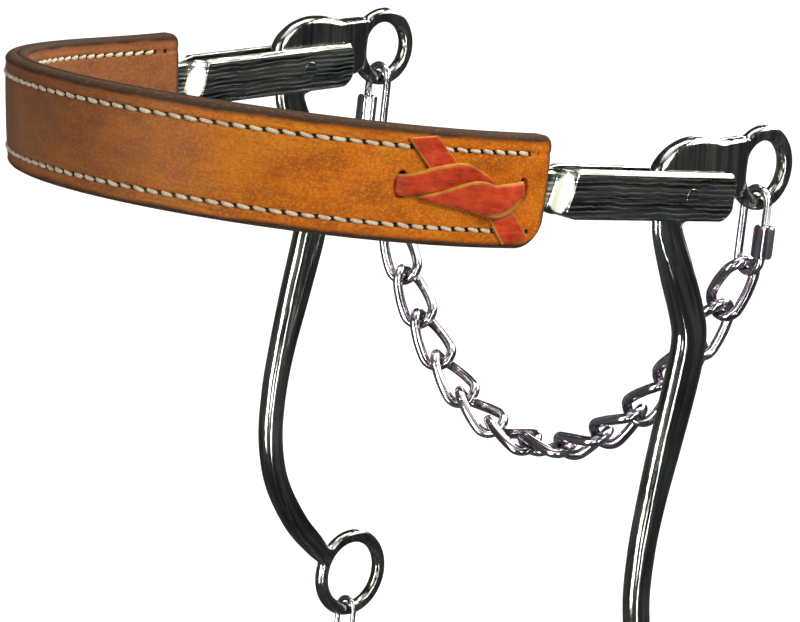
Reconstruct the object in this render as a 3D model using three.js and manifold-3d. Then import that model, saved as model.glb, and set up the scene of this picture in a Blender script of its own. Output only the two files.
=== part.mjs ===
// Bitless hackamore: a stitched leather noseband with a steel fork in each end, a pivoting shank in
// each fork, a curb chain on two quick links and a light hobble chain between the lower rings.
// Millimetres. +X is the horse's left, -Y is forward, +Z is up. The origin is the middle of the
// noseband at the front of the nose.
import * as THREE from "three";
import { mergeVertices } from "three/addons/utils/BufferGeometryUtils.js";
import Module from "manifold-3d";

const wasm = await Module();
wasm.setup();

// Driving dimensions
const NOSE_RADIUS = 97; // plan radius of the noseband over the nose
const BAND_LENGTH = 348; // noseband, leather end to leather end
const BAND_HEIGHT = 38;
const OUTER_LEATHER = 4; // thickness of the outer layer
const LINING_LEATHER = 3.4; // thickness of the lining
const GAP = 0.3; // clearance between pieces that touch
// Degrees of rise along the band, for u, u^2 and u^3, with u from -1 at the right end to 1 at the left
const BAND_PITCH = [-2.7, -3.9, 5.3];
const NOSE_LEAN = 7; // degrees that the band's lower edge tucks in at the nose
const BAR_HEIGHT = 17; // flat bar of the fork
const BAR_THICKNESS = 3.2;
const FORK_GAP = 8.6; // between the two legs of a fork
const FORK_OFFSET = 3.4; // the left fork sits this much further out of the leather, the right one less
const FORK_LENGTH = 87.4; // leather end to the rear end of the legs
const FORK_BEND = 12.8; // leather end to where the legs run parallel
const PIVOT_REACH = 65; // leather end to the pivot pin
const PIN_RADIUS = 3;
const PLATE = 7.2; // shank's web between the legs
const TOP_SECTION = 6; // wire of the shank's top eye
const LOWER_SECTION = 5.6; // wire of its lower eye
const TOP_EYE_RADIUS = 9.5;
const LOWER_EYE_RADIUS = 12.6;
const WIRE = 1.5; // quick link wire radius
const QUICK_LENGTH = 33; // quick link, overall
const CURB_PITCH = 19;
const CURB_WIRE = 1.95;
const CURB_HALF_WIDTH = 5.7; // to the middle of the wire
const CURB_LINKS = 15;
const HOBBLE_PITCH = 12.2;
const HOBBLE_WIRE = 1;
const HOBBLE_LINKS = 19; // without the two larger end links

// Sizes that follow
const HALF = BAND_LENGTH / 2;
const ROUND_PART = Math.PI * NOSE_RADIUS - HALF; // half length that keeps the nose radius
const H = BAND_HEIGHT / 2;
const OUTER_FACE = GAP / 2 + OUTER_LEATHER;
const LINING_FACE = GAP / 2 + LINING_LEATHER;
const LEG_INNER = FORK_GAP / 2;
const LEG_OUTER = LEG_INNER + BAR_THICKNESS;
const SEAT = 0.5; // clearance over the eye where a link bears on it
const QUICK_HALF_WIDTH = TOP_SECTION / 2 + WIRE + 0.8;
const END_LINK_WIRE = 1.1;
const END_LINK_HALF_WIDTH = LOWER_SECTION / 2 + END_LINK_WIRE + 0.7;
const END_LINK_REACH = 9.5; // half length to the middle of the wire

const steel = { color: 0x8d8d8c, roughness: 0.28, metalness: 1 };
const chainSteel = { color: 0xb9b4b4, roughness: 0.22, metalness: 1 };
const tan = { color: 0xa4562a, roughness: 0.62, metalness: 0 };
const liningTan = { color: 0x9a5330, roughness: 0.7, metalness: 0 };
const cream = { color: 0xd9cdb4, roughness: 0.8, metalness: 0 };
const latigo = { color: 0x8e1d1c, roughness: 0.55, metalness: 0 };

const hackamore = new THREE.Group();

// ---- Helpers ----

// Turns a geometry's faces outwards and shares its vertices.
function outward(geometry) {
  const flat = geometry.index ? geometry.toNonIndexed() : geometry;
  const plain = new THREE.BufferGeometry();
  plain.setAttribute("position", flat.getAttribute("position").clone());
  const p = plain.getAttribute("position");
  const a = new THREE.Vector3();
  const b = new THREE.Vector3();
  const c = new THREE.Vector3();
  let volume = 0;
  for (let i = 0; i < p.count; i += 3) {
    a.fromBufferAttribute(p, i);
    b.fromBufferAttribute(p, i + 1);
    c.fromBufferAttribute(p, i + 2);
    volume += a.dot(b.cross(c));
  }
  if (volume < 0) {
    for (let i = 0; i < p.count; i += 3) {
      b.fromBufferAttribute(p, i + 1);
      c.fromBufferAttribute(p, i + 2);
      p.setXYZ(i + 1, c.x, c.y, c.z);
      p.setXYZ(i + 2, b.x, b.y, b.z);
    }
  }
  return mergeVertices(plain, 1e-4);
}

function solid(geometry) {
  const g = outward(geometry);
  return new wasm.Manifold(
    new wasm.Mesh({
      numProp: 3,
      vertProperties: new Float32Array(g.getAttribute("position").array),
      triVerts: new Uint32Array(g.index.array),
    }),
  );
}

function fromSolid(made) {
  const m = made.getMesh();
  const g = new THREE.BufferGeometry();
  g.setAttribute("position", new THREE.BufferAttribute(m.vertProperties, 3));
  g.setIndex(new THREE.BufferAttribute(m.triVerts, 1));
  return g;
}

function add(name, geometry, look) {
  const mesh = new THREE.Mesh(geometry, new THREE.MeshStandardMaterial(look));
  mesh.name = name;
  mesh.geometry.computeVertexNormals();
  hackamore.add(mesh);
}

// A closed body through rings of points. Each ring is convex and all have the same count.
function loft(rings) {
  const points = [];
  const n = rings[0].length;
  const tri = (...v) => v.forEach((q) => points.push(q.x, q.y, q.z));
  for (let i = 0; i + 1 < rings.length; i++) {
    for (let j = 0; j < n; j++) {
      const k = (j + 1) % n;
      tri(rings[i][j], rings[i][k], rings[i + 1][k]);
      tri(rings[i][j], rings[i + 1][k], rings[i + 1][j]);
    }
  }
  const last = rings[rings.length - 1];
  for (let j = 1; j + 1 < n; j++) {
    tri(rings[0][0], rings[0][j + 1], rings[0][j]);
    tri(last[0], last[j], last[j + 1]);
  }
  const g = new THREE.BufferGeometry();
  g.setAttribute("position", new THREE.Float32BufferAttribute(points, 3));
  return outward(g);
}

// ---- The noseband's centre line ----

const STEP = 1;
function riseAt(u) {
  const [p1, p2, p3] = BAND_PITCH;
  return THREE.MathUtils.degToRad(p1 * u + p2 * u * u + p3 * u * u * u);
}
function buildTrack(side) {
  const t = { x: [0], y: [0], z: [0], turn: [0], rise: [0] };
  for (let i = 1; i <= HALF / STEP; i++) {
    const s = (i - 0.5) * STEP;
    const fade = Math.max(0, (s - ROUND_PART) / (HALF - ROUND_PART));
    const turn = t.turn[i - 1] + (STEP * (1 - fade)) / NOSE_RADIUS;
    const mid = (turn + t.turn[i - 1]) / 2;
    const rise = riseAt((side * s) / HALF);
    t.turn.push(turn);
    t.rise.push(riseAt((side * i * STEP) / HALF));
    t.x.push(t.x[i - 1] + STEP * Math.cos(mid) * Math.cos(rise));
    t.y.push(t.y[i - 1] + STEP * Math.sin(mid) * Math.cos(rise));
    t.z.push(t.z[i - 1] + side * STEP * Math.sin(rise));
  }
  return t;
}
const tracks = { left: buildTrack(1), right: buildTrack(-1) };

// A point s along the band from the nose (left positive), n out from its middle and h up its face.
// Past the leather end the centre line runs on straight, parallel to Y in plan.
function bandPoint(s, n, h) {
  const side = s < 0 ? -1 : 1;
  const t = side > 0 ? tracks.left : tracks.right;
  const along = Math.min(Math.abs(s), HALF);
  const i = Math.min(Math.floor(along / STEP), t.x.length - 2);
  const f = along / STEP - i;
  const mix = (v) => v[i] + (v[i + 1] - v[i]) * f;
  const turn = along >= HALF ? Math.PI / 2 : mix(t.turn);
  const rise = mix(t.rise);
  const tangent = new THREE.Vector3(
    Math.cos(turn) * Math.cos(rise),
    Math.sin(turn) * Math.cos(rise),
    side * Math.sin(rise),
  );
  const u = along / HALF;
  const lean = THREE.MathUtils.degToRad(NOSE_LEAN * (1 - u * u));
  const out = new THREE.Vector3(Math.sin(turn), -Math.cos(turn), 0).applyAxisAngle(tangent, -lean);
  const up = new THREE.Vector3().crossVectors(out, tangent);
  const p = new THREE.Vector3(mix(t.x), mix(t.y), mix(t.z));
  p.addScaledVector(tangent, Math.abs(s) - along);
  p.addScaledVector(out, n).addScaledVector(up, h);
  p.x *= side;
  return p;
}
// The same past one cheek's leather end: reach is measured rearwards along its fork.
const cheekPoint = (side, reach, n, h) =>
  bandPoint(side * (HALF + reach) + FORK_OFFSET, n, h);

// A body whose cross-sections are lists of [n, h], one for each station along the band.
function bandLoft(stations, sectionAt) {
  return loft(stations.map((s) => sectionAt(s).map(([n, h]) => bandPoint(s, n, h))));
}
function range(from, to, count) {
  return Array.from({ length: count + 1 }, (_, i) => from + ((to - from) * i) / count);
}
const box = (n0, n1, h0, h1) => [[n0, h0], [n1, h0], [n1, h1], [n0, h1]];

// ---- Leather ----

const END_TOP_RADIUS = 3;
const END_LOWER_RADIUS = 10;
const EDGE_ROUND = 1.8;
const drop = (radius, e) =>
  e < radius ? radius - Math.sqrt(radius * radius - (radius - e) ** 2) : 0;
const endSteps = [0, 1, 3, 6, END_LOWER_RADIUS];
const bandStations = [
  ...endSteps.map((e) => -HALF + e),
  ...range(-HALF + END_LOWER_RADIUS, HALF - END_LOWER_RADIUS, 44).slice(1, -1),
  ...endSteps.map((e) => HALF - e).reverse(),
];
// One leather layer from n = near (against the other layer) to n = far, rounded on its far edges.
function layer(near, far) {
  const sign = Math.sign(far);
  return bandLoft(bandStations, (s) => {
    const e = HALF - Math.abs(s);
    const top = H - drop(END_TOP_RADIUS, e);
    const low = -H + drop(END_LOWER_RADIUS, e);
    const soft = far - sign * EDGE_ROUND;
    return [[near, low], [near, top], [soft, top], [far, top - EDGE_ROUND],
      [far, low + EDGE_ROUND], [soft, low]];
  });
}

// Where the lace passes through leather and tang: distances from the leather end.
const REAR_SLOT = 11.5;
const FRONT_SLOT = 58;
const SLOT_LENGTH = 4.4;
const SLOT_HALF_HEIGHT = 4.3;
const LACE = 2.2;
const LACE_HALF_WIDTH = 3.6;
const TANG_LENGTH = 46;
const TANG_SLOT_LENGTH = 5.2;
const TANG_HALF_HEIGHT = 7.5;

function slot(side, at, halfLength, halfHeight) {
  const s = side * (HALF - at);
  const reach = 20;
  return solid(bandLoft([s - halfLength, s + halfLength], () =>
    box(-reach, reach, -halfHeight, halfHeight)));
}
function tangBody(side, extra) {
  const from = HALF - TANG_LENGTH - extra;
  const end = HALF + 1;
  const half = BAR_THICKNESS / 2 + extra;
  const tall = TANG_HALF_HEIGHT + extra;
  return solid(bandLoft(range(from, end, 8).map((s) => side * s), () =>
    box(-half, half, -tall, tall)));
}
// The lace slots are cut through the outer layer only.
function leather(near, far, slots) {
  let body = solid(layer(near, far));
  for (const side of [1, -1]) {
    body = body.subtract(tangBody(side, GAP));
    for (const at of slots) {
      body = body.subtract(slot(side, at, SLOT_LENGTH / 2, SLOT_HALF_HEIGHT));
    }
  }
  return fromSolid(body);
}
const laceSlots = [REAR_SLOT, FRONT_SLOT];
add("noseband_outer_leather", leather(GAP / 2, OUTER_FACE, laceSlots), tan);
add("noseband_lining_leather", leather(-GAP / 2, -LINING_FACE, []), liningTan);

// Thread rows, one along each edge of each face
const ROW_INSET = 6.1;
const THREAD = 0.55;
function threadRow(face, height) {
  const middle = face + Math.sign(face) * (GAP + THREAD);
  const ends = HALF - 7;
  return bandLoft(range(-ends, ends, 32), () => [
    [middle - THREAD, height], [middle, height + THREAD],
    [middle + THREAD, height], [middle, height - THREAD]]);
}
add("stitching_outer_upper", threadRow(OUTER_FACE, H - ROW_INSET), cream);
add("stitching_outer_lower", threadRow(OUTER_FACE, ROW_INSET - H), cream);
add("stitching_lining_upper", threadRow(-LINING_FACE, H - ROW_INSET), cream);
add("stitching_lining_lower", threadRow(-LINING_FACE, ROW_INSET - H), cream);

// Lace tie: a strip on the outer face, an end through each slot, and two tails over the strip
const TAIL_WIDTH = 8;
const TAIL_INSET = 1; // tail, from its slot
const TAIL_OVERLAP = 0.4; // tail sunk into the strip
const FRONT_DEPTH = 0.6; // the front end stops in the outer leather, the rear one in the tang's slot
const REAR_DEPTH = -1.2;
function tie(side) {
  const outer = OUTER_FACE + GAP;
  const front = HALF - FRONT_SLOT;
  const rear = HALF - REAR_SLOT;
  const w = LACE_HALF_WIDTH;
  const half = LACE / 2;
  const piece = (from, to, count, section) =>
    solid(bandLoft(range(from, to, count).map((s) => side * s), () => section));
  const through = (s, depth) => piece(s - half, s + half, 1, box(depth, outer + half, -w, w));
  const tail = outer + LACE - TAIL_OVERLAP;
  const reach = H - 1;
  const frontTail = front + TAIL_INSET;
  const rearTail = rear - TAIL_INSET;
  return fromSolid(
    piece(front - half, rear + half, 10, box(outer, outer + LACE, -w, w))
      .add(through(front, FRONT_DEPTH))
      .add(through(rear, REAR_DEPTH))
      .add(piece(frontTail, frontTail + TAIL_WIDTH, 2, box(tail, tail + LACE, 0, reach)))
      .add(piece(rearTail - TAIL_WIDTH, rearTail, 2, box(tail, tail + LACE, -reach, 0))));
}
add("tie_left", tie(1), latigo);
add("tie_right", tie(-1), latigo);

// ---- Forks and pins ----

const BAR_BEVEL = 1.6;
const LEG_TOP_RADIUS = 3;
const LEG_LOWER_RADIUS = 6;
const ROOT_LOW = 2.5; // how far the lower edge rises at the root
const ROOT_TOP = 1;
const ROOT_GAP = 0.4; // leather end to the root
function leg(side, face) {
  const half = BAR_HEIGHT / 2;
  const ends = [6, 4, 2.2, 0.8, 0].map((e) => FORK_LENGTH - e);
  const leather = -side * FORK_OFFSET;
  const root = leather + ROOT_GAP;
  const bend = leather + FORK_BEND;
  const rings = [root, bend, FORK_LENGTH / 2, ...ends].map((reach) => {
    const e = FORK_LENGTH - reach;
    const spread = Math.min(1, (reach - root) / (bend - root));
    const inner = THREE.MathUtils.lerp(-0.5, LEG_INNER, spread);
    const outer = THREE.MathUtils.lerp(BAR_THICKNESS / 2, LEG_OUTER, spread);
    const top = half - drop(LEG_TOP_RADIUS, e) - ROOT_TOP * (1 - spread);
    const low = -half + drop(LEG_LOWER_RADIUS, e) + ROOT_LOW * (1 - spread);
    const bevel = BAR_BEVEL * 0.75;
    return [[inner, low], [inner, top], [outer - bevel, top], [outer, top - BAR_BEVEL],
      [outer, low + BAR_BEVEL], [outer - bevel, low]]
      .map(([n, h]) => cheekPoint(side, reach, n * face, h));
  });
  return solid(loft(rings));
}
function pinBody(side, radius, halfLength) {
  const g = new THREE.CylinderGeometry(radius, radius, 2 * halfLength, 24);
  g.rotateZ(Math.PI / 2);
  const c = cheekPoint(side, PIVOT_REACH, 0, 0);
  g.translate(c.x, c.y, c.z);
  return g;
}
function fork(side) {
  let body = tangBody(side, 0).add(leg(side, 1)).add(leg(side, -1));
  body = body.subtract(slot(side, REAR_SLOT, TANG_SLOT_LENGTH / 2, SLOT_HALF_HEIGHT));
  return fromSolid(body.subtract(solid(pinBody(side, PIN_RADIUS + GAP, LEG_OUTER + 5))));
}
add("fork_left", fork(1), steel);
add("fork_right", fork(-1), steel);
add("pivot_pin_left", outward(pinBody(1, PIN_RADIUS, LEG_OUTER)), steel);
add("pivot_pin_right", outward(pinBody(-1, PIN_RADIUS, LEG_OUTER)), steel);

// ---- Shanks, in their own side view: u rearwards and v up from the pivot ----

const TOP_EYE = new THREE.Vector2(42.3, 9.2);
const LOWER_EYE = new THREE.Vector2(56, -207);
// The arm's centre line from inside the web down to the lower eye: u, v, half its width in the side
// view, and half its thickness, which is least between the fork's legs
const ARM = [
  [-4, -1, 6.4, 2.8], [-3, -12, 6.6, 3.2], [4.5, -27, 6.8, 4.6], [12.5, -42, 7, 4.8],
  [15.6, -52, 7.1, 4.9], [14.2, -67, 7.1, 4.9], [10, -90, 6.5, 4.8], [6.4, -111, 5.4, 4.7],
  [4.6, -129, 5, 4.6], [5.4, -148, 4.9, 4.5], [11, -166, 4.9, 4.4], [23, -183, 5, 4],
  [35, -194, 4.6, 3.2], [42, -200, 3.4, 2.6],
];
const ARM_SIDES = 10;
// The web's outline: shoulder, top edge to the top eye, and back under it to the arm
const WEB = [
  [-10, -8], [-13.5, 0], [-13.5, 9], [-8, 15.5], [0, 19.4], [9, 20.4], [18, 19.4], [25, 20],
  [32, 19.5], [33, 9], [32, 0], [22, -3.5], [11, -6], [4, -10],
];
const WEB_BEVEL = 1.4;

const sideView = (pivot, u, v, x) => new THREE.Vector3(pivot.x + x, pivot.y + u, pivot.z + v);

function arm(pivot) {
  const mid = ARM.map(([u, v]) => new THREE.Vector2(u, v));
  return solid(loft(ARM.map(([u, v, wide, thick], i) => {
    const along = mid[Math.min(i + 1, mid.length - 1)].clone().sub(mid[Math.max(0, i - 1)]);
    along.normalize();
    return range(0, 2 * Math.PI, ARM_SIDES).slice(1).map((a) => {
      const across = wide * Math.cos(a);
      return sideView(pivot, u - along.y * across, v + along.x * across, thick * Math.sin(a));
    });
  })));
}
function web(pivot) {
  const outline = new THREE.SplineCurve(WEB.map(([u, v]) => new THREE.Vector2(u, v)));
  const g = new THREE.ExtrudeGeometry(new THREE.Shape(outline.getPoints(40)), {
    depth: PLATE - 2 * WEB_BEVEL,
    bevelEnabled: true,
    bevelThickness: WEB_BEVEL,
    bevelSize: WEB_BEVEL,
    bevelOffset: -WEB_BEVEL,
    bevelSegments: 1,
  });
  g.translate(0, 0, WEB_BEVEL - PLATE / 2);
  // u becomes Y, v becomes Z and the plate's thickness lies along X
  g.applyMatrix4(new THREE.Matrix4().makeBasis(
    new THREE.Vector3(0, 1, 0), new THREE.Vector3(0, 0, 1), new THREE.Vector3(1, 0, 0)));
  g.translate(pivot.x, pivot.y, pivot.z);
  return solid(g);
}
function eye(pivot, centre, radius, section, steps) {
  const g = new THREE.TorusGeometry(radius + section / 2, section / 2, 8, steps);
  g.rotateY(Math.PI / 2);
  g.translate(pivot.x, pivot.y + centre.x, pivot.z + centre.y);
  return solid(g);
}
function shank(side) {
  const pivot = cheekPoint(side, PIVOT_REACH, 0, 0);
  const body = web(pivot).add(arm(pivot))
    .add(eye(pivot, TOP_EYE, TOP_EYE_RADIUS, TOP_SECTION, 24))
    .add(eye(pivot, LOWER_EYE, LOWER_EYE_RADIUS, LOWER_SECTION, 28));
  return fromSolid(body.subtract(solid(pinBody(side, PIN_RADIUS + GAP, LEG_OUTER + 5))));
}
add("shank_left", shank(1), steel);
add("shank_right", shank(-1), steel);

// ---- Links ----

// A closed ring of wire through the given points
function wireLoop(points, radius, steps, sides) {
  const curve = new THREE.CatmullRomCurve3(points, true, "centripetal");
  return outward(new THREE.TubeGeometry(curve, steps, radius, sides, true));
}
// The outline of a link with straight sides and round ends, as [along, across] pairs
function stadium(reach, halfWidth, endSteps) {
  const straight = reach - halfWidth;
  const half = range(-Math.PI / 2, Math.PI / 2, endSteps).map((a) => [
    straight + halfWidth * Math.cos(a), halfWidth * Math.sin(a)]);
  return [...half, ...half.map(([u, v]) => [-u, -v])];
}
// A link centred on c, its length along t. Its face turns from roll0 to roll1, measured from +Y.
function chainLink(c, t, reach, halfWidth, wire, roll0, roll1, steps, sides) {
  const side = new THREE.Vector3(0, 1, 0);
  const third = new THREE.Vector3().crossVectors(t, side).normalize();
  const points = stadium(reach, halfWidth, 4).map(([u, v]) => {
    const roll = THREE.MathUtils.lerp(roll0, roll1, (u / reach + 1) / 2);
    return c.clone().addScaledVector(t, u)
      .addScaledVector(side, v * Math.cos(roll))
      .addScaledVector(third, v * Math.sin(roll));
  });
  return wireLoop(points, wire, steps, sides);
}

const pivots = { left: cheekPoint(1, PIVOT_REACH, 0, 0), right: cheekPoint(-1, PIVOT_REACH, 0, 0) };
function quickTop(name) {
  const p = pivots[name];
  const bottomOfEye = p.z + TOP_EYE.y - TOP_EYE_RADIUS;
  return new THREE.Vector3(p.x, p.y + TOP_EYE.x, bottomOfEye + SEAT + WIRE);
}
const QUICK_REACH = QUICK_LENGTH / 2 - WIRE;
const SLEEVE_LENGTH = 11.5;
const SLEEVE_DROP = 3.4; // closed sleeve, below the link's middle
const SLEEVE_ACROSS = 7; // across the flats
const LINK_OPENING = 5;

// An open C of wire in the XZ plane: the gap is in its outer rod, behind the sleeve
function quickLink(name) {
  const out = name === "left" ? 1 : -1;
  const c = quickTop(name).add(new THREE.Vector3(0, 0, -QUICK_REACH));
  const straight = QUICK_REACH - QUICK_HALF_WIDTH;
  const w = QUICK_HALF_WIDTH;
  const at = (x, z) => new THREE.Vector3(c.x + out * x, c.y, c.z + z);
  const arc = (from, to, mid) => range(from, to, 8).map((a) =>
    at(w * Math.cos(a), mid + w * Math.sin(a)));
  const smooth = new THREE.CatmullRomCurve3([
    at(w, -SLEEVE_DROP + LINK_OPENING / 2),
    ...arc(0, Math.PI, straight),
    ...arc(Math.PI, 2 * Math.PI, -straight),
    at(w, -SLEEVE_DROP - LINK_OPENING / 2),
  ], false, "centripetal");
  const section = new THREE.Shape();
  section.absarc(0, 0, WIRE, 0, 2 * Math.PI, false);
  return outward(new THREE.ExtrudeGeometry(section, {
    steps: 26, extrudePath: smooth, bevelEnabled: false, curveSegments: 4 }));
}
function sleeve(name) {
  const out = name === "left" ? 1 : -1;
  const c = quickTop(name);
  const shape = new THREE.Shape();
  const corner = SLEEVE_ACROSS / Math.sqrt(3);
  range(0, 2 * Math.PI, 6).slice(0, 6).forEach((a, i) => {
    const draw = i ? "lineTo" : "moveTo";
    shape[draw](corner * Math.cos(a), corner * Math.sin(a));
  });
  shape.closePath();
  shape.holes.push(new THREE.Path().absarc(0, 0, WIRE + GAP, 0, 2 * Math.PI, false));
  const g = new THREE.ExtrudeGeometry(shape, {
    depth: SLEEVE_LENGTH, bevelEnabled: false, curveSegments: 6 });
  g.translate(c.x + out * QUICK_HALF_WIDTH, c.y,
    c.z - QUICK_REACH - SLEEVE_DROP - SLEEVE_LENGTH / 2);
  return outward(g);
}
for (const name of ["left", "right"]) {
  add("quick_link_" + name, quickLink(name), chainSteel);
  add("quick_link_sleeve_" + name, sleeve(name), chainSteel);
}

// Centres and directions of count links hung from a to b, each pitch long
function hang(a, b, count, pitch) {
  const span = Math.hypot(b.x - a.x, b.y - a.y);
  const rise = b.z - a.z;
  const length = count * pitch;
  const target = Math.sqrt(length * length - rise * rise);
  let low = span / 40;
  let high = span * 40;
  for (let i = 0; i < 80; i++) {
    const mid = (low + high) / 2;
    if (2 * mid * Math.sinh(span / 2 / mid) > target) low = mid;
    else high = mid;
  }
  const k = (low + high) / 2;
  const middle = span / 2 - k * Math.atanh(rise / length);
  const arcAt = (x) => k * (Math.sinh((x - middle) / k) + Math.sinh(middle / k));
  const nodes = range(0, length, count).map((s) => {
    const x = middle + k * Math.asinh(s / k - Math.sinh(middle / k));
    const z = k * (Math.cosh((x - middle) / k) - Math.cosh(middle / k));
    return a.clone().lerp(b, x / span).setZ(a.z + z);
  });
  if (Math.abs(arcAt(span) - length) > 1) throw new Error("the chain does not fit its span");
  return nodes.slice(1).map((end, i) => ({
    centre: nodes[i].clone().add(end).multiplyScalar(0.5),
    along: end.clone().sub(nodes[i]).normalize(),
  }));
}
// The same between the middles a and b of two round bights: the run starts and ends at a distance of
// reach from them, in the end link's own direction.
function hangBetween(a, b, count, pitch, reach) {
  let from = a;
  let to = b;
  let run = hang(from, to, count, pitch);
  for (let i = 0; i < 6; i++) {
    from = a.clone().addScaledVector(run[0].along, reach);
    to = b.clone().addScaledVector(run[count - 1].along, -reach);
    run = hang(from, to, count, pitch);
  }
  return run;
}
const number = (i) => String(i + 1).padStart(2, "0");

// Curb chain: links twisted by a quarter turn, each end nearly at right angles to its neighbour's.
// The run as a whole turns back by a quarter, so that both its ends fit the quick links.
const CURB_REACH = CURB_PITCH / 2 + CURB_WIRE + GAP;
const CURB_SHORT = WIRE + CURB_WIRE + GAP - (CURB_REACH - CURB_PITCH / 2);
const quickBight = (name) =>
  quickTop(name).add(new THREE.Vector3(0, 0, QUICK_HALF_WIDTH - 2 * QUICK_REACH));
const curbRun = hangBetween(quickBight("left"), quickBight("right"), CURB_LINKS, CURB_PITCH,
  QUICK_HALF_WIDTH - CURB_SHORT);
curbRun.forEach(({ centre, along }, i) => {
  const roll = (-Math.PI / 2 / (CURB_LINKS - 1)) * i;
  const link = chainLink(centre, along, CURB_REACH, CURB_HALF_WIDTH, CURB_WIRE, roll,
    roll + Math.PI / 2, 20, 8);
  add("curb_link_" + number(i), link, chainSteel);
});

// Hobble chain: small plain links between two larger end links in the lower eyes
const HOBBLE_REACH = HOBBLE_PITCH / 2 + HOBBLE_WIRE + GAP;
const HOBBLE_HALF_WIDTH = 3.1;
function endLinkCentre(name) {
  const p = pivots[name];
  const bottomOfEye = p.z + LOWER_EYE.y - LOWER_EYE_RADIUS;
  return new THREE.Vector3(p.x, p.y + LOWER_EYE.x,
    bottomOfEye + SEAT + END_LINK_WIRE - END_LINK_REACH);
}
const HOBBLE_SHORT = END_LINK_WIRE + HOBBLE_WIRE + GAP - (HOBBLE_REACH - HOBBLE_PITCH / 2);
const endLinkBight = (name) =>
  endLinkCentre(name).add(new THREE.Vector3(0, 0, END_LINK_HALF_WIDTH - END_LINK_REACH));
for (const name of ["left", "right"]) {
  // In the XZ plane, so that it passes round the eye's rim
  const g = chainLink(endLinkCentre(name), new THREE.Vector3(0, 0, -1), END_LINK_REACH,
    END_LINK_HALF_WIDTH, END_LINK_WIRE, Math.PI / 2, Math.PI / 2, 18, 5);
  add("hobble_end_link_" + name, g, chainSteel);
}
const hobbleRun = hangBetween(endLinkBight("left"), endLinkBight("right"), HOBBLE_LINKS,
  HOBBLE_PITCH, END_LINK_HALF_WIDTH - HOBBLE_SHORT);
hobbleRun.forEach(({ centre, along }, i) => {
  const roll = i % 2 ? Math.PI / 2 : 0;
  const link = chainLink(centre, along, HOBBLE_REACH, HOBBLE_HALF_WIDTH, HOBBLE_WIRE, roll, roll,
    12, 5);
  add("hobble_link_" + number(i), link, chainSteel);
});

export default hackamore;
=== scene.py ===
# Bitless hackamore: its looks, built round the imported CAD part. Local sizes are in millimetres.
import math

import bpy
import numpy as np
from mathutils import Matrix, Vector


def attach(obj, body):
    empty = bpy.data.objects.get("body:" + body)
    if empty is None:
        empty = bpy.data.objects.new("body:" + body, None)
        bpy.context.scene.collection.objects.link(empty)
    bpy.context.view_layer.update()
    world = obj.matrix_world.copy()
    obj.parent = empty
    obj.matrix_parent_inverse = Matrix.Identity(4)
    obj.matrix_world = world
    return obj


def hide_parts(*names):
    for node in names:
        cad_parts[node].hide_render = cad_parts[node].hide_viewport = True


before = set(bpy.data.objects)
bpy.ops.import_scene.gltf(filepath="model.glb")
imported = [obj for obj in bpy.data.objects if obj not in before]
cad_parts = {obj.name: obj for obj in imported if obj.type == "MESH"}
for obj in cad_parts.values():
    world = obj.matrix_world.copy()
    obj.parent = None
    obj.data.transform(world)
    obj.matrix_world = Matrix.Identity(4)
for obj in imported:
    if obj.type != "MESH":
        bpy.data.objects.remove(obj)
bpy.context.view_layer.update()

MM = 0.001
rng = np.random.default_rng(7)

# ---- Driving sizes, the same as the CAD part's ----

NOSE_RADIUS = 97
HALF = 174
H = 19
OUTER_FACE = 4.15
LINING_FACE = 3.55
LAYER_GAP = 0.15
GAP = 0.3
BAND_PITCH = (-2.7, -3.9, 5.3)  # degrees, from a least-squares fit to the photograph
NOSE_LEAN = 7
FORK_OFFSET = 3.4
FORK_BEND = 12.8
ROUND_PART = math.pi * NOSE_RADIUS - HALF
BAR_HALF_HEIGHT = 8.5
BAR_THICKNESS = 3.2
LEG_INNER = 4.3
LEG_OUTER = LEG_INNER + BAR_THICKNESS
FORK_LENGTH = 87.4
PIVOT_REACH = 65
PIN_RADIUS = 3
PLATE = 7.2
TOP_SECTION = 6
LOWER_SECTION = 5.6
TOP_EYE = (42.3, 9.2)
LOWER_EYE = (56, -207)
TOP_EYE_RADIUS = 9.5
LOWER_EYE_RADIUS = 12.6
WIRE = 1.5
QUICK_REACH = 33 / 2 - WIRE
QUICK_HALF_WIDTH = TOP_SECTION / 2 + WIRE + 0.8
SEAT = 0.5
SLEEVE_LENGTH = 11.5
SLEEVE_DROP = 3.4
SLEEVE_ACROSS = 7
LINK_OPENING = 5
CURB_PITCH = 19
CURB_WIRE = 1.95
CURB_HALF_WIDTH = 5.7
CURB_LINKS = 15
CURB_REACH = CURB_PITCH / 2 + CURB_WIRE + GAP
HOBBLE_PITCH = 12.2
HOBBLE_WIRE = 1
HOBBLE_HALF_WIDTH = 3.1
HOBBLE_LINKS = 19
HOBBLE_REACH = HOBBLE_PITCH / 2 + HOBBLE_WIRE + GAP
END_LINK_WIRE = 1.1
END_LINK_HALF_WIDTH = LOWER_SECTION / 2 + END_LINK_WIRE + 0.7
END_LINK_REACH = 9.5
END_TOP_RADIUS = 3
END_LOWER_RADIUS = 10
ROW = 12.9
STITCH = 5.09
ROW_END = 7
SLOTS = (11.5, 58)
SLOT_HALF_HEIGHT = 4.3

# ---- The camera, from a least-squares fit to the photograph ----

CAMERA_PLACE = Vector((0.8266, -0.6286, 0.1252))
CAMERA_LOOK = Vector((-0.7159, 0.6785, -0.1648)).normalized()
CAMERA_ROLL = math.radians(6.31)


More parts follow.
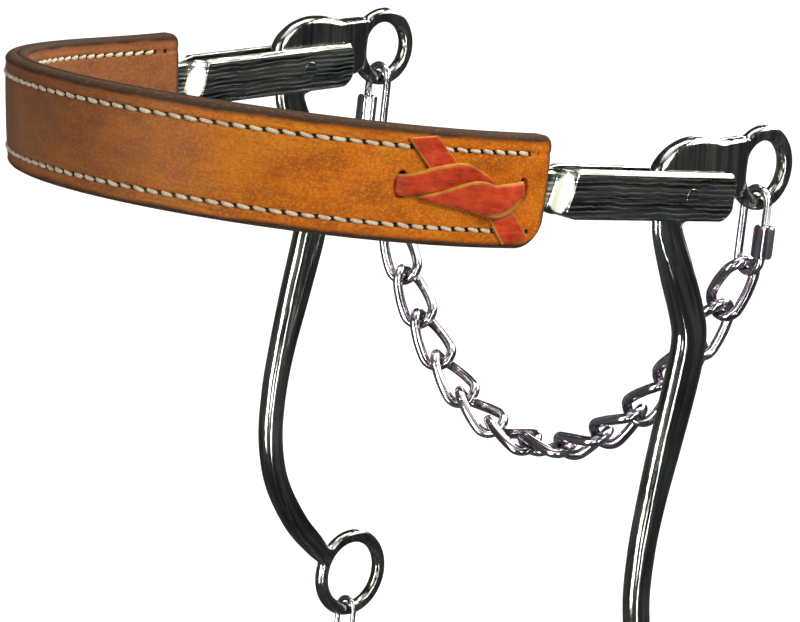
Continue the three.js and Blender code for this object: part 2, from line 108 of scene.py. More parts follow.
def make_camera():
    data = bpy.data.cameras.new("camera")
    data.lens = 143
    data.sensor_width = 36
    data.clip_start = 0.05
    data.clip_end = 40
    level = CAMERA_LOOK.cross(Vector((0, 0, 1))).normalized()
    upright = level.cross(CAMERA_LOOK)
    right = math.cos(CAMERA_ROLL) * level + math.sin(CAMERA_ROLL) * upright
    up = -math.sin(CAMERA_ROLL) * level + math.cos(CAMERA_ROLL) * upright
    turn = Matrix((right, up, -CAMERA_LOOK)).transposed()
    camera = bpy.data.objects.new("camera", data)
    camera.matrix_world = Matrix.Translation(CAMERA_PLACE) @ turn.to_4x4()
    bpy.context.scene.collection.objects.link(camera)
    bpy.context.scene.camera = camera


make_camera()

# ---- Materials ----


class Shader:
    """A material's node tree, with short ways to add nodes to it."""

    def __init__(self, name, roughness, metallic=0.0):
        self.material = bpy.data.materials.new(name)
        self.material.use_nodes = True
        self.tree = self.material.node_tree
        self.base = self.tree.nodes["Principled BSDF"]
        self.base.inputs["Roughness"].default_value = roughness
        self.base.inputs["Metallic"].default_value = metallic

    def add(self, kind, inputs=None, **settings):
        node = self.tree.nodes.new(kind)
        for key, value in settings.items():
            setattr(node, key, value)
        for key, value in (inputs or {}).items():
            if isinstance(value, bpy.types.NodeSocket):
                self.tree.links.new(value, node.inputs[key])
            else:
                node.inputs[key].default_value = value
        return node

    def link(self, output, socket):
        self.tree.links.new(output, self.base.inputs[socket])

    def place(self):
        """The point's place in its piece's pattern, in metres, as make_piece stores it."""
        return self.add("ShaderNodeAttribute", attribute_name="grain").outputs["Vector"]

    def number(self, name):
        return self.add("ShaderNodeAttribute", attribute_name=name).outputs["Fac"]

    def scaled(self, vector, scale):
        node = self.add("ShaderNodeVectorMath", {0: vector, 1: scale}, operation="MULTIPLY")
        return node.outputs[0]

    def noise(self, vector, scale, detail=3, rough=0.55, distortion=0.0):
        made = self.add("ShaderNodeTexNoise", {
            "Vector": vector, "Scale": scale, "Detail": detail, "Roughness": rough,
            "Distortion": distortion})
        return made.outputs["Fac"]

    def maths(self, operation, a, b=0.0):
        node = self.add("ShaderNodeMath", {0: a, 1: b}, operation=operation)
        return node.outputs[0]

    def span(self, value, low, high, to_low=0.0, to_high=1.0):
        made = self.add("ShaderNodeMapRange", {
            "Value": value, "From Min": low, "From Max": high, "To Min": to_low,
            "To Max": to_high}, clamp=True)
        return made.outputs["Result"]

    def mix(self, share, a, b):
        node = self.add("ShaderNodeMix", data_type="RGBA")
        for index, value in ((0, share), (6, a), (7, b)):
            if isinstance(value, bpy.types.NodeSocket):
                self.tree.links.new(value, node.inputs[index])
            else:
                node.inputs[index].default_value = value if index == 0 else (*value, 1)
        return node.outputs[2]

    def bump(self, height, distance, strength=1.0, after=None):
        inputs = {"Height": height, "Distance": distance * MM, "Strength": strength}
        if after is not None:
            inputs["Normal"] = after
        return self.add("ShaderNodeBump", inputs).outputs["Normal"]


def leather_material(name, tone, deep, light, dark, nose_shade):
    """Oiled harness leather: mottled tan, fine grain, burnished dark edges, and painted shade in
    the awl holes and at the nose.
    """
    s = Shader(name, 0.5)
    place = s.place()
    apart = s.add("ShaderNodeSeparateXYZ", {0: place})
    mottle = s.noise(s.scaled(place, (1, 1, 1.6)), 85, 5, 0.62)
    blotch = s.noise(place, 26, 3, 0.5, 0.6)
    speck = s.noise(s.scaled(place, (1, 1, 1.4)), 900, 3, 0.7)
    scratch = s.noise(s.scaled(place, (0.25, 1, 2.4)), 420, 4, 0.7, 0.4)
    colour = s.mix(s.span(mottle, 0.35, 0.65), deep, tone)
    colour = s.mix(s.span(blotch, 0.5, 0.72, 0, 0.6), colour, light)
    colour = s.mix(s.span(speck, 0.5, 0.66, 0, 0.75), colour, light)
    colour = s.mix(s.span(speck, 0.48, 0.32, 0, 0.85), colour, deep)
    colour = s.mix(s.span(scratch, 0.52, 0.66, 0, 0.5), colour, deep)
    # Painted shade: the nose is darkened, more so towards the right
    at = s.maths("ADD", apart.outputs[0], s.span(blotch, 0.3, 0.7, -0.012, 0.012))
    colour = s.mix(s.span(at, nose_shade[0], nose_shade[1], 0, nose_shade[2]), colour, PAINTED_NOSE_SHADE)
    edge = s.number("edge")
    ragged = s.maths("ADD", edge, s.span(mottle, 0.3, 0.7, -0.14, 0.14))
    colour = s.mix(s.span(ragged, 0.02, 0.4, 0, 0.6), colour, deep)
    colour = s.mix(s.span(ragged, 0.26, 0.58), colour, dark)
    worn = s.maths("MULTIPLY", s.span(speck, 0.5, 0.66), s.span(ragged, 0.6, 0.8, 0, 0.32))
    colour = s.mix(worn, colour, deep)
    # Painted shade: a near-black dot at each awl hole of the stitch rows, which are not cut into
    # the leather
    leaning = s.maths("MULTIPLY", apart.outputs[2], 0.35)
    steps = s.maths("DIVIDE", s.maths("ADD", apart.outputs[0], leaning), STITCH * MM)
    near = s.maths("ABSOLUTE", s.maths("SUBTRACT", s.maths("FRACT", steps), 0.5))
    off_hole = s.maths("MULTIPLY", s.maths("SUBTRACT", 0.5, near), STITCH)
    height = s.maths("ABSOLUTE", apart.outputs[2])
    off_row = s.maths("ABSOLUTE", s.maths("SUBTRACT", height, ROW * MM))
    across = s.span(off_row, 1.0 * MM, 0.6 * MM)
    hole_shade = s.maths("MULTIPLY", s.span(off_hole, 1.0, 0.6), across)
    from_nose = s.maths("ABSOLUTE", apart.outputs[0])
    last = HALF - ROW_END
    within = s.span(from_nose, (last + 1.1) * MM, (last + 0.9) * MM)
    hole_shade = s.maths("MULTIPLY", hole_shade, within)
    colour = s.mix(hole_shade, colour, (0.006, 0.004, 0.003))
    s.link(colour, "Base Color")
    s.link(s.span(ragged, 0.2, 0.8, 0.52, 0.8), "Roughness")
    s.base.inputs["Specular IOR Level"].default_value = 0.14
    s.base.inputs["Specular Tint"].default_value = (1, 0.70, 0.42, 1)
    pebble = s.bump(s.noise(place, 1500, 3, 0.6), 0.10, 0.6)
    creases = s.bump(scratch, 0.10, 0.5, pebble)
    s.link(s.bump(mottle, 0.35, 0.5, creases), "Normal")
    return s.material


def thread_material():
    """Waxed cream thread, lightly soiled, with its twist and painted shade in the twist's grooves.
    """
    s = Shader("waxed_thread", 0.55)
    place = s.place()
    soil = s.noise(place, 260, 3, 0.6)
    colour = s.mix(s.span(soil, 0.4, 0.7), (0.78, 0.68, 0.48), (0.46, 0.36, 0.22))
    twist = s.add("ShaderNodeTexWave", {
        "Vector": s.scaled(place, (1, 0.6, 0.6)), "Scale": 420, "Distortion": 0.6})
    # Painted shade in the grooves of the twist
    colour = s.mix(s.span(twist.outputs["Fac"], 0.3, 0.0, 0, 0.5), colour, (0.34, 0.27, 0.18))
    s.link(colour, "Base Color")
    s.link(s.bump(twist.outputs["Fac"], 0.16, 0.8), "Normal")
    return s.material


def lace_material():
    """Red latigo lace: oiled red faces, and golden tan where it was cut."""
    s = Shader("red_latigo", 0.5)
    s.base.inputs["Specular IOR Level"].default_value = 0.2
    s.base.inputs["Specular Tint"].default_value = (1, 0.6, 0.4, 1)
    place = s.place()
    fibre = s.noise(s.scaled(place, (0.35, 1, 2)), 520, 4, 0.65, 0.3)
    mottle = s.noise(place, 170, 4, 0.6)
    colour = s.mix(s.span(mottle, 0.35, 0.65), (0.40, 0.024, 0.008), (0.66, 0.062, 0.012))
    colour = s.mix(s.span(fibre, 0.52, 0.70, 0, 0.5), colour, (0.60, 0.13, 0.03))
    colour = s.mix(s.span(fibre, 0.44, 0.3, 0, 0.6), colour, (0.20, 0.016, 0.012))
    cut = s.maths("ADD", s.number("cut"), s.span(mottle, 0.3, 0.7, -0.16, 0.16))
    gold = s.mix(s.span(mottle, 0.35, 0.65), (0.34, 0.12, 0.015), (0.58, 0.27, 0.035))
    s.link(s.mix(s.span(cut, 0.4, 0.6), colour, gold), "Base Color")
    grain = s.bump(s.noise(place, 1100, 3, 0.6), 0.12, 0.7)
    s.link(s.bump(fibre, 0.2, 0.6, grain), "Normal")
    return s.material


def steel_material(name, dark, mid, pale, grind, marks, roughness, furrow=0):
    """Ground and polished steel: lengthwise grind marks, patches of grey, and fine pits.
    Where furrow isn't 0, wavy grinding furrows that far apart run along it too."""
    s = Shader(name, roughness[0], 1.0)
    place = s.place()
    wavy = s.noise(place, 70, 2, 0.5)
    lines = s.noise(s.scaled(place, (0.035, 1, 1)), grind, 3, 0.6, 0.35)
    hair = s.noise(s.scaled(place, (0.03, 1, 1)), grind * 3.1, 2, 0.6)
    patch = s.noise(s.scaled(place, (0.4, 1, 1)), 60, 4, 0.6)
    pits = s.noise(place, 1500, 2, 0.5)
    colour = s.mix(s.span(patch, 0.35, 0.68), mid, pale)
    colour = s.mix(s.span(lines, 0.52, 0.40, 0, marks), colour, dark)
    colour = s.mix(s.span(hair, 0.60, 0.72, 0, marks * 0.5), colour, pale)
    colour = s.mix(s.span(pits, 0.32, 0.26, 0, 0.7), colour, dark)
    if furrow:
        height = s.add("ShaderNodeSeparateXYZ", {0: place}).outputs[2]
        sway = s.noise(s.scaled(place, (1, 1, 0.4)), 55, 3, 0.55)
        swayed = s.maths("ADD", height, s.maths("MULTIPLY", sway, 3.4 * MM))
        wave = s.maths("SINE", s.maths("MULTIPLY", swayed, 2 * math.pi / (furrow * MM)))
        broken = s.noise(s.scaled(place, (0.25, 1, 1)), 420, 3, 0.6)
        ridge = s.maths("MULTIPLY", s.span(wave, 0.35, 0.9), s.span(broken, 0.36, 0.6, 0.15, 1))
        colour = s.mix(ridge, colour, (0.80, 0.84, 0.76))
    facet = s.number("facet")
    s.link(s.mix(facet, colour, (0.80, 0.80, 0.66)), "Base Color")
    rough = s.span(lines, 0.35, 0.65, roughness[0], roughness[1])
    plain = s.maths("SUBTRACT", 1.0, facet)
    s.link(s.maths("ADD", s.maths("MULTIPLY", rough, plain), s.maths("MULTIPLY", facet, 0.5)),
           "Roughness")
    cut = s.bump(s.maths("MULTIPLY", lines, plain), 0.30 * marks, 0.6)
    s.link(s.bump(s.maths("MULTIPLY", wavy, plain), 0.5, 0.25, cut), "Normal")
    return s.material


# The colour of the painted shade at the nose
PAINTED_NOSE_SHADE = (0.17, 0.088, 0.056)
# Each leather's last three numbers place the painted shade at the nose: where it starts and where
# it is full along the band, in metres, and how strong it gets
TAN = leather_material("saddle_leather", (0.72, 0.180, 0.004), (0.36, 0.078, 0.006),
                       (0.80, 0.27, 0.014), (0.036, 0.024, 0.016), (0.070, -0.05, 0.92))
LINING = leather_material("lining_leather", (0.36, 0.118, 0.030), (0.23, 0.064, 0.019),
                          (0.45, 0.17, 0.052), (0.040, 0.027, 0.018), (0.02, -0.10, 0.2))
THREAD = thread_material()
LACE = lace_material()
FORK = steel_material("ground_steel", (0.010, 0.011, 0.010), (0.13, 0.14, 0.125),
                      (0.34, 0.34, 0.30), 640, 0.8, (0.17, 0.30), 1.7)
STEEL = steel_material("polished_steel", (0.010, 0.011, 0.010), (0.16, 0.168, 0.15),
                       (0.48, 0.48, 0.42), 420, 0.5, (0.09, 0.18))
CHAIN = steel_material("bright_steel", (0.012, 0.009, 0.018), (0.40, 0.35, 0.40),
                       (0.70, 0.64, 0.69), 500, 0.55, (0.08, 0.20))

# ---- The noseband's centre line, as in the CAD part ----


def rise_at(u):
    """The band's slope in radians, u from -1 at its right end to 1 at its left."""
    p1, p2, p3 = BAND_PITCH
    return np.radians(p1 * u + p2 * u**2 + p3 * u**3)


def build_track(side):
    along = np.arange(0, HALF + 1.0)
    s = along[1:] - 0.5
    fade = np.maximum(0, (s - ROUND_PART) / (HALF - ROUND_PART))
    turn = np.concatenate([[0], np.cumsum((1 - fade) / NOSE_RADIUS)])
    middle = (turn[1:] + turn[:-1]) / 2
    rise = rise_at(side * s / HALF)
    total = lambda v: np.concatenate([[0], np.cumsum(v)])
    return {
        "along": along,
        "turn": turn,
        "rise": rise_at(side * along / HALF),
        "x": total(np.cos(middle) * np.cos(rise)),
        "y": total(np.sin(middle) * np.cos(rise)),
        "z": total(side * np.sin(rise)),
    }


TRACKS = {1: build_track(1), -1: build_track(-1)}


def band(s, n, h):
    """Points s along the band from the nose (left positive), n out from its middle, h up."""
    s, n, h = np.broadcast_arrays(*(np.asarray(v, float) for v in (s, n, h)))
    points = np.zeros(s.shape + (3,))
    for side, track in TRACKS.items():
        mine = (s < 0) if side < 0 else (s >= 0)
        along = np.minimum(np.abs(s), HALF)
        read = lambda key: np.interp(along, track["along"], track[key])
        turn = np.where(along >= HALF, math.pi / 2, read("turn"))
        rise = read("rise")
        tangent = np.stack([np.cos(turn) * np.cos(rise), np.sin(turn) * np.cos(rise),
                            side * np.sin(rise)], -1)
        flat = np.stack([np.sin(turn), -np.cos(turn), np.zeros_like(turn)], -1)
        upright = np.cross(flat, tangent)
        lean = np.radians(NOSE_LEAN * (1 - (along / HALF) ** 2))[..., None]
        out = flat * np.cos(lean) - upright * np.sin(lean)
        up = upright * np.cos(lean) + flat * np.sin(lean)
        p = np.stack([read("x"), read("y"), read("z")], -1)
        p = p + tangent * (np.abs(s) - along)[..., None] + out * n[..., None] + up * h[..., None]
        p[..., 0] *= side
        points[mine] = p[mine]
    return points


def cheek(side, reach, n=0.0, h=0.0):
    """A point past one cheek's leather end, reach rearwards along its fork."""
    return band(side * (HALF + np.asarray(reach, float)) + FORK_OFFSET, n, h)


# ---- Meshes ----


def make_piece(name, vertices, faces, material, body, nodes, numbers=None, grain=None):
    """A visual piece in the row frame, from points in millimetres."""
    mesh = bpy.data.meshes.new(name)
    mesh.from_pydata((np.asarray(vertices) * MM).tolist(), [], faces)
    mesh.update()
    mesh.materials.append(material)
    mesh.polygons.foreach_set("use_smooth", np.ones(len(mesh.polygons), bool))
    place = np.asarray(vertices if grain is None else grain, float) * MM
    stored = mesh.attributes.new("grain", "FLOAT_VECTOR", "POINT")
    stored.data.foreach_set("vector", place.ravel())
    for key, values in (numbers or {}).items():
        mesh.attributes.new(key, "FLOAT", "POINT").data.foreach_set("value", np.asarray(values))
    piece = bpy.data.objects.new(name, mesh)
    bpy.context.scene.collection.objects.link(piece)
    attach(piece, body)
    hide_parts(*nodes)
    return piece


def tube_faces(rings, count, closed=False, start=0):
    """Faces of a tube through rings of count points each, numbered from start, capped if open."""
    faces = []
    for i in range(rings if closed else rings - 1):
        a = start + i * count
        b = start + ((i + 1) % rings) * count
        for j in range(count):
            k = (j + 1) % count
            faces.append((a + j, a + k, b + k, b + j))
    if not closed:
        faces.append(tuple(start + j for j in reversed(range(count))))
        faces.append(tuple(start + (rings - 1) * count + j for j in range(count)))
    return faces


def face_out(vertices, faces):
    """The faces turned outwards if the closed surface is inside out."""
    v = np.asarray(vertices)
    total = 0.0
    for f in faces:
        for i in range(1, len(f) - 1):
            total += np.dot(v[f[0]], np.cross(v[f[i]], v[f[i + 1]]))
    return faces if total > 0 else [tuple(reversed(f)) for f in faces]


def sweep(points, radii, sides=16, closed=True):
    """A round wire along points: vertices, faces and grain places (along, around)."""
    p = np.asarray(points, float)
    n = len(p)
    ahead = np.roll(p, -1, 0)
    behind = np.roll(p, 1, 0)
    if not closed:
        ahead[-1] = p[-1]
        behind[0] = p[0]
    tangent = ahead - behind
    tangent /= np.linalg.norm(tangent, axis=1)[:, None]
    across = np.cross(tangent[0], (0.3, 0.5, 0.81))
    frames = []
    for t in tangent:
        across = across - t * np.dot(across, t)
        across /= np.linalg.norm(across)
        frames.append((across, np.cross(t, across)))
    # A closed loop's frame is turned a little at each step, so that it meets itself
    last = frames[-1][0] - tangent[0] * np.dot(frames[-1][0], tangent[0])
    slip = math.atan2(np.dot(last, frames[0][1]), np.dot(last, frames[0][0])) if closed else 0
    radii = np.broadcast_to(radii, (n,))
    run = np.concatenate([[0], np.cumsum(np.linalg.norm(np.diff(p, axis=0), axis=1))])
    vertices = []
    grain = []
    for i in range(n):
        for j in range(sides):
            a = 2 * math.pi * j / sides - slip * i / n
            u, v = frames[i]
            vertices.append(p[i] + radii[i] * (math.cos(a) * u + math.sin(a) * v))
            grain.append((run[i], radii[i] * math.cos(a), radii[i] * math.sin(a)))
    return vertices, tube_faces(n, sides, closed), grain


# ---- Leather ----


def drop(radius, e):
    """How far a corner of this radius falls away at a distance e from the end."""
    e = np.clip(e, 0, radius)
    return radius - np.sqrt(radius**2 - (radius - e) ** 2)


def slot_depth(s, h):
    """0 on the leather, 1 well inside a lace slot."""
    depth = np.zeros(np.broadcast(s, h).shape)
    for side in (1, -1):
        for at in SLOTS:
            across = (s - side * (HALF - at)) / 2.2
            reach = np.sqrt(across**2 + ((h - 0.4) / SLOT_HALF_HEIGHT) ** 2)
            depth = np.maximum(depth, np.clip((1.06 - reach) / 0.16, 0, 1))
    return depth


def leather_layer(name, near, far, rounding, material, nodes, slotted):
    """One layer of the strap, from n = near to n = far, with burnished rounded edges."""
    sign = 1 if far > 0 else -1
    thick = abs(far - near)
    stations = list(np.arange(-HALF, HALF + 0.1, 1.0))
    stations += [sign * (HALF - e) for sign in (1, -1) for e in (0.15, 0.4, 0.75, 1.5, 2.5)]
    if slotted:
        for side in (1, -1):
            for at in SLOTS:
                stations += list(side * (HALF - at) + np.arange(-2.8, 2.81, 0.2))
    stations = np.array(sorted(set(np.round(stations, 3))))
    quarter = np.linspace(0, math.pi / 2, 8)
    heights = np.linspace(-1, 1, 76)
    s_all, n_all, h_all, edge_all = [], [], [], []
    wander = rng.normal(0, 1, 6)
    for s in stations:
        e = HALF - abs(s)
        top = H - drop(END_TOP_RADIUS, e)
        low = -H + drop(END_LOWER_RADIUS, e)
        wave = 0.12 * math.sin(s / 23 + wander[0]) + 0.07 * math.sin(s / 9 + wander[1])
        thin = 0.9 * (1 - math.sqrt(max(0, 1 - (1 - min(e, 1.1) / 1.1) ** 2)))
        outer = thick - thin
        inner_h = np.linspace(low, top, 12)
        profile = [(0, h) for h in inner_h]
        soft = outer - rounding
        profile += [(soft + rounding * math.sin(a), top - rounding * (1 - math.cos(a)))
                    for a in quarter[:-1]]
        face = top - rounding + (low - top + 2 * rounding) * (1 - heights) / 2
        for h in reversed(face):
            roll = 0.55 * max(0, (abs(h) - ROW - 0.4) / (H - ROW)) ** 2
            groove = 0.42 * math.exp(-(((abs(h) - ROW) / 0.85) ** 2))
            crease = 0.16 * math.exp(-(((abs(h) - 15.6) / 0.4) ** 2))
            crown = 0.25 * (1 - min(1, abs(h) / ROW) ** 2)
            sunk = (thick - 0.5) * float(slot_depth(s, h)) if slotted else 0
            lift = crown + wave * (1 - min(1, abs(h) / ROW))
            profile.append((outer - roll - groove - crease + lift - sunk, h))
        profile += [(soft + rounding * math.sin(a), low + rounding * (1 - math.cos(a)))
                    for a in quarter[::-1][1:]]
        for n, h in profile:
            from_side = min(top - h, h - low)
            depth = max(0, 1 - from_side / 3.4)
            rim = max(0, 1 - e / 2.6) * 0.8
            side_face = 1.0 if n < outer - rounding * 0.75 else 0
            s_all.append(s)
            n_all.append(near + sign * n)
            h_all.append(h)
            edge_all.append(min(1.0, max(depth, rim, side_face)))
    count = len(profile)
    vertices = band(np.array(s_all), np.array(n_all), np.array(h_all))
    faces = face_out(vertices, tube_faces(len(stations), count))
    grain = np.stack([s_all, n_all, h_all], -1)
    return make_piece(name, vertices, faces, material, "noseband", nodes,
                      {"edge": edge_all}, grain)


leather_layer("noseband_outer", LAYER_GAP, OUTER_FACE, 2.2, TAN,
              ["noseband_outer_leather"], True)
leather_layer("noseband_lining", -LAYER_GAP, -LINING_FACE, 1.9, LINING,
              ["noseband_lining_leather"], False)


# ---- Stitching ----


def stitch_row(name, face, height, node):
    """Separate lockstitches, each a short plump length of thread that dips into its holes."""
    sign = 1 if face > 0 else -1
    vertices, faces, grain = [], [], []
    steps, sides = 11, 8
    first = math.ceil(-HALF / STITCH)
    for k in range(first, -first):
        start = k * STITCH + 0.5 * STITCH - 0.35 * height
        if abs(start) > HALF - ROW_END - STITCH / 2:
            continue
        length = STITCH * rng.uniform(0.80, 0.85)
        middle = start + rng.normal(0, 0.06)
        lean = 0.16 + rng.normal(0, 0.05)
        plump = rng.uniform(0.92, 1.08)
        base = len(vertices)
        for i in range(steps):
            t = 2 * i / (steps - 1) - 1
            body = max(0.12, (1 - t**4)) ** 0.5
            lift = 0.55 * (1 - abs(t) ** 3.2) - 0.45
            s0 = middle + t * length / 2
            h0 = height - t * length / 2 * lean
            for j in range(sides):
                a = 2 * math.pi * j / sides
                wide = 0.68 * body * plump * math.cos(a)
                high = 0.52 * body * plump * math.sin(a)
                vertices.append((s0, face + sign * (lift + high), h0 + wide))
                grain.append((s0 + k, wide, high))
        faces += tube_faces(steps, sides, start=base)
    place = np.array(vertices)
    points = band(place[:, 0], place[:, 1], place[:, 2])
    return make_piece(name, points, face_out(points, faces), THREAD, "noseband",
                      [node], None, grain)


for label, face in (("outer", OUTER_FACE), ("lining", -LINING_FACE)):
    for row, height in (("upper", ROW), ("lower", -ROW)):
        stitch_row(f"stitches_{label}_{row}", face, height, f"stitching_{label}_{row}")


# ---- Lace ties ----


def smooth_step(t):
    t = min(max(t, 0.0), 1.0)
    return t * t * (3 - 2 * t)


def spline(points, count):
    """A smooth curve through points, as count rows."""
    p = np.asarray(points, float)
    if len(p) == 2:
        return p[0] + (p[1] - p[0]) * np.linspace(0, 1, count)[:, None]
    full = np.vstack([2 * p[0] - p[1], p, 2 * p[-1] - p[-2]])
    rows = []
    for t in np.linspace(0, len(p) - 1, count):
        i = min(int(t), len(p) - 2)
        f = t - i
        a, b, c, d = full[i:i + 4]
        rows.append(0.5 * (2 * b + (c - a) * f + (2 * a - 5 * b + 4 * c - d) * f**2
                           + (3 * b - a - 3 * c + d) * f**3))
    return np.array(rows)


def lace_strip(edge_a, edge_b, thickness, curl=False, count=44, across=26):
    """A strip between two edges given as (s, h, n), with its cut sides marked."""
    a = spline(edge_a, count)
    b = spline(edge_b, count)
    vertices, cut = [], []
    for i in range(count):
        ahead = (a[min(i + 1, count - 1)] + b[min(i + 1, count - 1)]) / 2
        behind = (a[max(i - 1, 0)] + b[max(i - 1, 0)]) / 2
        over = np.cross(ahead - behind, b[i] - a[i])
        over /= max(np.linalg.norm(over), 1e-6)
        over = over if over[2] > 0 else -over
        soft = 0.45
        width = np.linalg.norm(b[i] - a[i])
        inset = min(0.3, soft / max(width, 0.9))
        end = min(i, count - 1 - i)
        slim = (0.55, 0.85)[end] if end < 2 else 1.0
        row = [(0, 0.15), (0, 0.5), (0, 0.85)]
        row += [(inset + (1 - 2 * inset) * f, 1.0 + 0.10 * math.sin(math.pi * f))
                for f in np.linspace(0, 1, across)]
        row += [(1, 0.85), (1, 0.5), (1, 0.15)]
        row += [(inset + (1 - 2 * inset) * f, 0.0) for f in np.linspace(1, 0, 5)]
        for f, lift in row:
            centred = 0.5 + (lift - 0.5) * slim
            from_a = f * width
            from_b = (1 - f) * width
            rim = SHOWN_CUT
            if curl:
                rim += (CURLED_CUT - SHOWN_CUT) * smooth_step((i / count - 0.42) / 0.12)
            skived = 0.35 * max(0, 1 - from_a / 0.9) + 0.5 * max(0, 1 - from_b / (rim + 0.4))
            skived = skived if lift > 0.9 else 0
            vertices.append(a[i] + (b[i] - a[i]) * f + over * thickness * (centred - skived))
            near_cut = from_a < 0.5 or from_b < rim or end < 1
            cut.append(1.0 if near_cut else 0.0)
    return vertices, tube_faces(count, len(row)), cut


# Edges of the lace's strips, as (distance before the leather end, height, lift off the face).
# Most distances and heights were traced from the photograph with another program and then
# shifted. The lifts, some end points and most of the first loop's lower edge were set one by one.
TAILS = (
    (((58.2, 15.8, 0.1), (54.8, 11.8, 0.1), (50.8, 7.4, 0.5), (46.5, 3.0, 0.8)),
     ((48.8, 17.2, 0.1), (45.3, 13.6, 0.1), (41.8, 10.2, 0.5), (38.0, 6.0, 0.8))),
    (((24.2, -9.6, -0.9), (23.3, -10.8, 0.0), (20.4, -14.0, 0.1), (17.4, -17.2, 0.0)),
     ((13.6, -7.6, -0.9), (12.8, -8.8, 0.0), (9.8, -12.0, 0.1), (6.6, -15.2, 0.0))),
)
LOOPS = (
    (((58.8, 3.5, -2.6), (58.0, 4.0, 0.5), (54.0, 5.5, 1.7), (48.5, 7.6, 2.3), (42.8, 9.0, 2.5),
      (37.8, 9.3, 2.2), (32.2, 7.3, 1.6), (26.2, 4.4, 0.9)),
     ((58.6, -3.3, -2.6), (57.0, -2.9, 0.4), (50.5, -1.5, 0.8), (44.5, -0.6, 0.9),
      (39.0, 0.4, 0.8), (34.0, 1.3, 0.7), (29.0, 1.8, 0.5), (25.6, 2.0, 0.4))),
    (((52.8, -2.6, 0.4), (44.8, 0.1, 2.0), (39.7, 2.5, 3.2), (34.2, 4.0, 3.7), (29.5, 3.6, 3.2),
      (26.5, 2.7, 2.6), (21.7, 3.1, 2.2), (14.3, 3.7, 0.8), (11.6, 3.5, -2.6)),
     ((51.2, -3.4, 0.3), (43.6, -4.5, 0.7), (37.2, -5.5, 0.9), (31.4, -6.5, 1.5),
      (27.0, -8.0, 2.4), (22.4, -7.6, 2.8), (17.6, -5.6, 2.4), (13.2, -2.6, 0.9),
      (11.4, -2.4, -2.6))),
)
# How much of a strip's lower edge shows its cut side, at its start and at its end
SHOWN_CUT = 0.35
CURLED_CUT = 1.6


def lace_tie(name, side, node):
    vertices, faces, cut = [], [], []
    for strips, thickness in ((TAILS, 1.2), (LOOPS, 1.7)):
        for edge_a, edge_b in strips:
            curl = len(edge_a) == 9
            new_vertices, new_faces, new_cut = lace_strip(edge_a, edge_b, thickness, curl)
            base = len(vertices)
            vertices += new_vertices
            faces += [tuple(base + i for i in f) for f in new_faces]
            cut += new_cut
    p = np.array(vertices)
    s = side * (HALF - p[:, 0])
    points = band(s, OUTER_FACE + p[:, 2] - 0.1, p[:, 1])
    grain = np.stack([p[:, 0], p[:, 2], p[:, 1]], -1)
    return make_piece(name, points, face_out(points, faces), LACE, "noseband",
                      [node], {"cut": cut}, grain)


lace_tie("lace_tie_left", 1, "tie_left")
lace_tie("lace_tie_right", -1, "tie_right")


# ---- Forks and pins ----


BEND_MIDDLE = 7
BEND_LEAN = 0.28
BEND_RUN = 5.5
LENS = (2.6, 7.2)  # half length and half height
BEVEL_HEIGHT = 1.5
BEVEL_DEPTH = 1.15


def fork_leg(side, sign):
    """One flat leg with bevelled edges, a ground facet at its bend and a rounded rear end."""
    leather = -side * FORK_OFFSET
    reaches = list(np.arange(leather - 1.0, leather + 14, 0.25))
    reaches += list(np.arange(leather + 14, FORK_LENGTH - 6, 0.5))
    reaches += [FORK_LENGTH - e for e in (6, 5, 4, 3.2, 2.4, 1.7, 1.1, 0.6, 0.25, 0.05)]
    vertices, grain, facet = [], [], []
    for reach in reaches:
        e = FORK_LENGTH - reach
        past = reach - leather
        spread = np.clip((past - 0.4) / (FORK_BEND - 0.4), 0, 1)
        top = BAR_HALF_HEIGHT - drop(3, e) - 1.0 * (1 - spread)
        low = -BAR_HALF_HEIGHT + drop(6, e) + 2.5 * (1 - spread)
        inner = -0.5 + (LEG_INNER + 0.5) * spread
        round_end = 1.3 * (1 - math.sqrt(max(0, 1 - (1 - min(e, 1.6) / 1.6) ** 2)))
        heights = np.linspace(low + BEVEL_HEIGHT, top - BEVEL_HEIGHT, 25)
        row = [(inner, low + 0.3), (inner, (low + top) / 2), (inner, top - 0.3), (inner + 0.3, top)]
        outers = []
        polished = []
        for h in heights:
            # The bend leans a little, and a lens of it is ground bright
            centre = BEND_MIDDLE + BEND_LEAN * h
            share = np.clip((past - centre) / BEND_RUN + 0.5, 0, 1)
            rise = share * share * (3 - 2 * share)
            width = LENS[0] * max(0.02, 1 - (h / LENS[1]) ** 2)
            polished.append(float(np.clip(3 * (1 - abs(past - centre) / width), 0, 1)))
            outers.append(BAR_THICKNESS / 2 + (LEG_OUTER - BAR_THICKNESS / 2) * rise - round_end)
        edge_out_top = outers[-1] - BEVEL_DEPTH
        edge_out_low = outers[0] - BEVEL_DEPTH
        row += [(max(inner + 0.35, edge_out_top), top), (outers[-1] - 0.5, top - 0.62)]
        row += [(n, h) for n, h in zip(reversed(outers), reversed(heights))]
        row += [(outers[0] - 0.5, low + 0.62), (max(inner + 0.35, edge_out_low), low)]
        row += [(inner + 0.3, low)]
        facet += [0.0] * 6 + polished[::-1] + [0.0] * 3
        for n, h in row:
            vertices.append(cheek(side, reach, sign * n, h))
            grain.append((reach, 0.1 * n, h + 40 * sign))
    return vertices, tube_faces(len(reaches), len(row)), grain, facet


def tang(side):
    corners = [(-1.6, -7.5), (-1.6, 7.5), (1.6, 7.5), (1.6, -7.5)]
    reaches = np.linspace(-45, 0.5, 20)
    vertices = [band(side * (HALF + r), n, h) for r in reaches for n, h in corners]
    grain = [(r, n, h) for r in reaches for n, h in corners]
    return vertices, tube_faces(len(reaches), 4), grain, [0.0] * len(grain)


